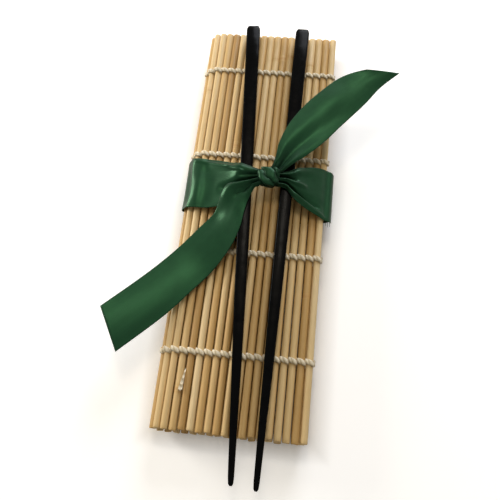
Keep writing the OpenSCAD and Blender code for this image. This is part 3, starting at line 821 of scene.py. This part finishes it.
# %% [markdown]
# ## The knot
# The knot is one turn of the ribbon pulled tight round the others. It starts as a sphere, which is
# squared off to the knot's size. Folds run slantwise round it, because the turn of ribbon that makes it
# comes down from the upper right. They are highest on top, and the grooves between them get the most painted
# shade.

# %% The knot
# Below 1 the power squares the sphere off, and the ends of the knot get more width than its box
squareness = 0.72
end_growth = 1.2
# Which way the folds follow each other, in x and y, and how closely
fold_x, fold_y = 0.75, 0.66
fold_rate = 4.6


def knot():
    bm = bmesh.new()
    uv = bm.loops.layers.uv.new("ribbon")
    gathered = bm.verts.layers.float.new("gathered")
    bmesh.ops.create_uvsphere(bm, u_segments=96, v_segments=64, radius=1.0)
    half = (knot_high - knot_low) / 2
    half.x *= end_growth
    for v in bm.verts:
        d = v.co.copy()
        boxy = [math.copysign(abs(c) ** squareness, c) for c in d]
        fold = d.x * fold_x + d.y * fold_y + 0.16 * noise.noise(d * 1.6)
        crease = abs(math.sin(fold * fold_rate + 0.5)) ** 0.6
        grow = 0.76 + 0.28 * crease * (0.5 + 0.5 * max(d.z, 0)) + 0.07 * noise.noise(d * 2.4)
        v.co = (Vector(boxy[i] * half[i] * grow for i in range(3)) + knot_mid) * MM
        # Painted shade: a groove gets much of it, and a ridge, as more open cloth, less
        v[gathered] = 1 - 0.6 * crease
    for face in bm.faces:
        for loop in face.loops:
            p = loop.vert.co / MM
            loop[uv].uv = (p.x + p.y, p.y - p.x)
    return piece(bm, "ribbon_knot_wrap", "ribbon_knot", [green_satin])


knot_piece = knot()
print("knot is", [round(v / MM, 1) for v in knot_piece.dimensions], "mm")

# %% [markdown]
# ## Frayed threads
# The ribbon was cut, not hemmed, so a few of its threads stand out of the corner where the loop turns
# down past the free edge. Each is a thin tube, drawn twice as thick as a real thread so that it shows.

# %% Frayed threads
thread_width = 0.26 * MM
# Where each thread leaves the edge, along x, and how far it stands out, in mm
thread_roots = [(34.5, 2.3), (35.5, 2.6), (36.5, 1.9)]


def frayed_threads():
    bm = bmesh.new()
    uv = bm.loops.layers.uv.new("ribbon")
    for x, long in thread_roots:
        # The edge of the ribbon comes down there, almost a millimetre for each one that it goes out
        root = Vector((x, -2.2, on_mat - 1.2 - 0.96 * (x - 34))) * MM
        tip = root + Vector((0.25, -long, -0.9)) * MM
        turn = (tip - root).to_track_quat("Z", "Y").to_matrix().to_4x4()
        place = Matrix.Translation((root + tip) / 2) @ turn
        bmesh.ops.create_cone(bm, cap_ends=True, segments=6, radius1=thread_width / 2,
                              radius2=thread_width / 3, depth=(tip - root).length, matrix=place)
    for face in bm.faces:
        for loop in face.loops:
            loop[uv].uv = (loop.vert.co.x / MM, loop.vert.co.y / MM)
    return piece(bm, "ribbon_frayed_threads", "ribbon_band", [green_satin])


threads_piece = frayed_threads()
print("frayed threads:", len(threads_piece.data.polygons), "faces")

# %% [markdown]
# ## The loose end of string
# A trimmed end of string lies between two slats below the fourth row. It is a short thread that opens
# into a tuft where it was cut, so it is made of a few thin strands that start together.

# %% Loose end
tuft_strands = 7
tuft_steps = 4


def loose_end():
    low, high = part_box("loose_string_end")
    bm = bmesh.new()
    strand = bm.verts.layers.float_vector.new("strand")
    top = Vector((high.x - 0.5 * MM, high.y - 0.4 * MM, low.z + 0.35 * MM))
    tips_at = Vector(((low.x + high.x) / 2 - 0.2 * MM, low.y + 0.3 * MM, high.z - 0.3 * MM))
    for k in range(tuft_strands):
        # From -1 for the first strand to 1 for the last one
        spread = 2 * k / (tuft_strands - 1) - 1
        tip = tips_at + Vector((0.75 * spread, 0.4 * abs(spread), 0.15 * math.cos(k * 2.0))) * MM
        ring = bmesh.ops.create_circle(bm, segments=6, radius=0.2 * MM, cap_ends=True)["verts"]
        turn = (tip - top).to_track_quat("Z", "Y").to_matrix().to_4x4()
        bmesh.ops.transform(bm, matrix=Matrix.Translation(top) @ turn, verts=ring)
        edges = list({e for v in ring for e in v.link_edges})
        for step in range(1, tuft_steps + 1):
            ring, edges = extruded(bm, edges)
            bmesh.ops.translate(bm, verts=ring, vec=(tip - top) / tuft_steps)
            for v in ring:
                v[strand] = (1, 0, step * 2 * MM)
    print("loose end has", len(bm.faces), "faces")
    return piece(bm, "loose_end_cotton", "loose_string_end", [cotton_string])


loose_end()

# %% [markdown]
# ## The ribbon's own meshes
# The real ribbon goes limp as soon as the mat unrolls. It can't follow the slats, so it flattens on to
# the top of the mat, under the chopsticks, while the mat unrolls. Here each piece of ribbon only gets a
# mesh of its own.

# %% Own meshes
for soft in (loop_piece, left_piece, right_piece, knot_piece, threads_piece):
    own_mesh(soft)

# %% [markdown]
# ## Floor and light
# The floor is plain white paper. To the camera alone it also glows a little beside the mat, so that it
# shows as white as in the photograph, and it stays dark under the mat, where it shows between the slats.
# The world is white to the camera and in reflections, and gives little light, a warm one. There are four
# lamps: a low one at the left, as a window, one behind the far end, as the sky, a weak warm one above, as
# the ceiling, and a small one above that makes the grey patch on the sticks.

# %% Floor
# How much the floor glows next to the mat, and how much more far off, and the distances from the mat's
# outline where each of them begins and is full
glow_near, near_from, near_to = 0.42, -4 * MM, 8 * MM
glow_far, far_from, far_to = 0.4, 60 * MM, 700 * MM
world_strength = 0.26
sheet = bmesh.new()
bmesh.ops.create_grid(sheet, x_segments=1, y_segments=1, size=3.0)
floor_mesh = bpy.data.meshes.new("floor")
sheet.to_mesh(floor_mesh)
sheet.free()
floor = bpy.data.objects.new("floor", floor_mesh)
bpy.context.scene.collection.objects.link(floor)
floor.location.z = -0.02 * MM
floor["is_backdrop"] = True
paper = new_material("Matt white paper")
ray = add(paper, "LightPath")
diffuse = add(paper, "BsdfDiffuse", {"Color": "#f6f6f6"})["BSDF"]
floor_at = add(paper, "SeparateXYZ", (), {"Vector": add(paper, "TexCoord")["Object"]})
# How far a point of the floor is outside the mat's outline, and below 0 under the mat
beside = []
for axis, low, high in (("X", out_left * MM, out_right * MM), ("Y", slat_low.y, slat_high.y)):
    from_middle = calc(paper, "SUBTRACT", {0: floor_at[axis]}, (low + high) / 2)
    away = calc(paper, "ABSOLUTE", {0: from_middle})
    beside.append(calc(paper, "SUBTRACT", {0: away}, (high - low) / 2))
outside = calc(paper, "MAXIMUM", {0: beside[0], 1: beside[1]})
near_range = {"From Min": near_from, "From Max": near_to, "To Max": glow_near}
far_range = {"From Min": far_from, "From Max": far_to, "To Max": glow_far}
beside_mat = add(paper, "MapRange", near_range, {"Value": outside})["Result"]
far_off = add(paper, "MapRange", far_range, {"Value": outside})["Result"]
glows = calc(paper, "ADD", {0: beside_mat, 1: far_off})
to_camera = calc(paper, "MULTIPLY", {0: glows, 1: ray["Is Camera Ray"]})
glow = add(paper, "Emission", {"Color": "#ffffff"}, {"Strength": to_camera})["Emission"]
both = add(paper, "AddShader", (), {0: diffuse, 1: glow})["Shader"]
add(paper, "OutputMaterial", (), {"Surface": both})
floor_mesh.materials.append(paper)

world = bpy.data.worlds.new("studio")
bpy.context.scene.world = world
world.use_nodes = True
world.node_tree.nodes.clear()
ray = add(world, "LightPath")
reflected = calc(world, "MAXIMUM", {0: ray["Is Glossy Ray"], 1: ray["Is Transmission Ray"]})
seen = calc(world, "MAXIMUM", {0: ray["Is Camera Ray"], 1: reflected})
strength = add(world, "MapRange", {"To Min": world_strength, "To Max": 1.0}, {"Value": seen})["Result"]
room = add(world, "Mix", {"data_type": "RGBA", 6: "#fbf0d8", 7: "#ffffff"}, {0: seen})[2]
back = add(world, "Background", (), {"Color": room, "Strength": strength})["Background"]
add(world, "OutputWorld", (), {"Surface": back})
bpy.context.scene.view_settings.view_transform = "Standard"
print("floor and world made")

# %% Lamps
def lamp(name, at, size, power, colour):
    data = bpy.data.lights.new(name, "AREA")
    data.shape = "DISK"
    data.size = size
    data.energy = power
    data.color = linear(colour)[:3]
    made = bpy.data.objects.new(name, data)
    bpy.context.scene.collection.objects.link(made)
    made.location = at
    made.rotation_euler = (-Vector(at)).to_track_quat("-Z", "Y").to_euler()


lamp("window", (-0.85, 0.3, 0.27), 0.34, 6.4, "#fffaf2")
lamp("sky", (0.12, 0.62, 0.31), 0.4, 4.0, "#f2f6ff")
lamp("ceiling", (-0.03, 0.37, 0.95), 0.5, 1.0, "#ffeed2")
lamp("ceiling_spot", (-0.03, 0.36, 0.92), 0.18, 0.9, "#fff6e8")

# %% Sizes
low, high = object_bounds()
